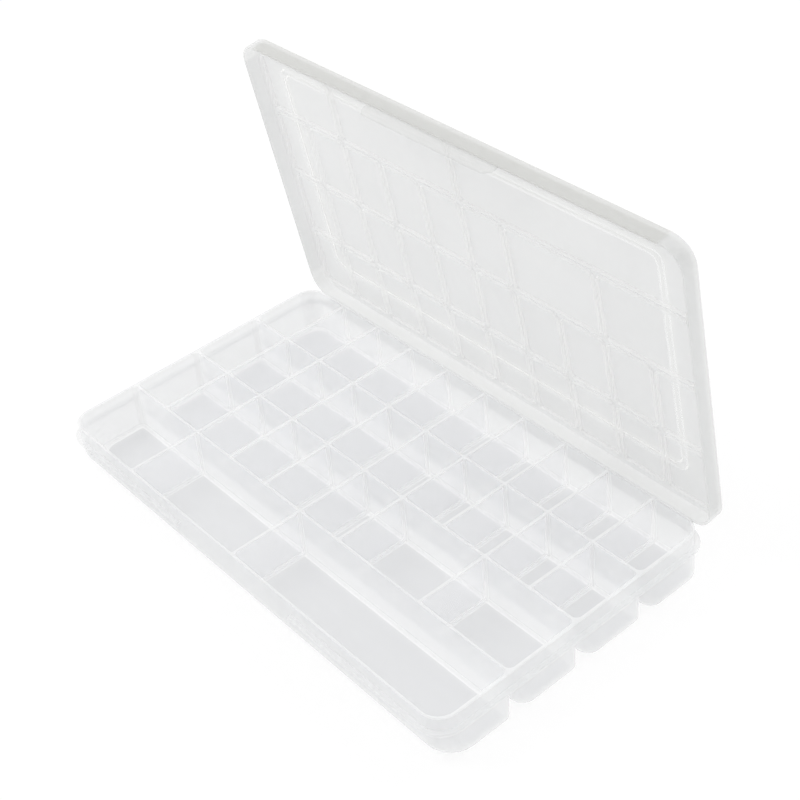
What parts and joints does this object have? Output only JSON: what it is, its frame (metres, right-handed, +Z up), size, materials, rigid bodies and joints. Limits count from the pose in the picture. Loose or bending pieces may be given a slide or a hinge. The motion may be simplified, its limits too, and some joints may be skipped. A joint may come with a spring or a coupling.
{
  "type": "compartment storage box",
  "caption": "Shallow translucent box with rows of fixed open compartments and a skirted lid on a moulded full-length hinge, closed by a finger tab.",
  "frame": {"origin": "under the middle of the box as it stands open, on the plane that it rests on; the tray's own middle is at Y -4.5 mm", "axes": "+X along the hinge, to the right as seen from the finger tab's side; +Y from the front edge to the hinge; +Z up"},
  "size_m": [0.2872, 0.1706, 0.1816],
  "materials": {
    "tray_plastic": "natural polypropylene, frosted and translucent, faintly cool",
    "lid_plastic": "natural polypropylene, frosted and translucent, neutral"
  },
  "bodies": {
    "tray": {"cross_divider_1_2": "tray_plastic", "cross_divider_1_5": "tray_plastic", "cross_divider_2_1": "tray_plastic", "cross_divider_2_2": "tray_plastic", "cross_divider_2_3": "tray_plastic", "cross_divider_2_4": "tray_plastic", "cross_divider_2_5": "tray_plastic", "cross_divider_2_6": "tray_plastic", "cross_divider_2_8": "tray_plastic", "cross_divider_3_1": "tray_plastic", "cross_divider_3_2": "tray_plastic", "cross_divider_3_3": "tray_plastic", "cross_divider_3_4": "tray_plastic", "cross_divider_3_5": "tray_plastic", "cross_divider_3_6": "tray_plastic", "cross_divider_3_7": "tray_plastic", "cross_divider_3_8": "tray_plastic", "cross_divider_3_9": "tray_plastic", "cross_divider_4_1": "tray_plastic", "cross_divider_4_2": "tray_plastic", "cross_divider_4_3": "tray_plastic", "cross_divider_4_4": "tray_plastic", "cross_divider_4_5": "tray_plastic", "cross_divider_4_6": "tray_plastic", "cross_divider_4_7": "tray_plastic", "cross_divider_4_8": "tray_plastic", "cross_divider_4_9": "tray_plastic", "hinge_bead": "tray_plastic", "ledge_back": "tray_plastic", "ledge_front": "tray_plastic", "ledge_left": "tray_plastic", "ledge_right": "tray_plastic", "row_divider_1": "tray_plastic", "row_divider_2": "tray_plastic", "row_divider_3": "tray_plastic", "trough_floor_1": "tray_plastic", "trough_floor_2": "tray_plastic", "trough_floor_3": "tray_plastic", "trough_floor_4": "tray_plastic", "trough_foot_1": "tray_plastic", "trough_foot_2": "tray_plastic", "trough_foot_3": "tray_plastic", "trough_foot_4": "tray_plastic", "wall_back": "tray_plastic", "wall_front": "tray_plastic", "wall_left": "tray_plastic", "wall_right": "tray_plastic"},
    "lid": {"finger_tab": "lid_plastic", "hinge_lid_leaf": "lid_plastic", "lid_panel": "lid_plastic", "lid_ribs_row_1": "lid_plastic", "lid_ribs_row_2": "lid_plastic", "lid_ribs_row_3": "lid_plastic", "lid_ribs_row_4": "lid_plastic", "skirt_back": "lid_plastic", "skirt_front": "lid_plastic", "skirt_left": "lid_plastic", "skirt_right": "lid_plastic", "stacking_bead_inner": "lid_plastic", "stacking_bead_outer": "lid_plastic"}
  },
  "joints": [
    {"name": "lid_hinge", "type": "hinge", "parent": "tray", "child": "lid", "pos_m": [0, 0.0771, 0.0204], "axis": [-1, 0, 0], "range_deg": [-82.6, 97.4]}
  ]
}
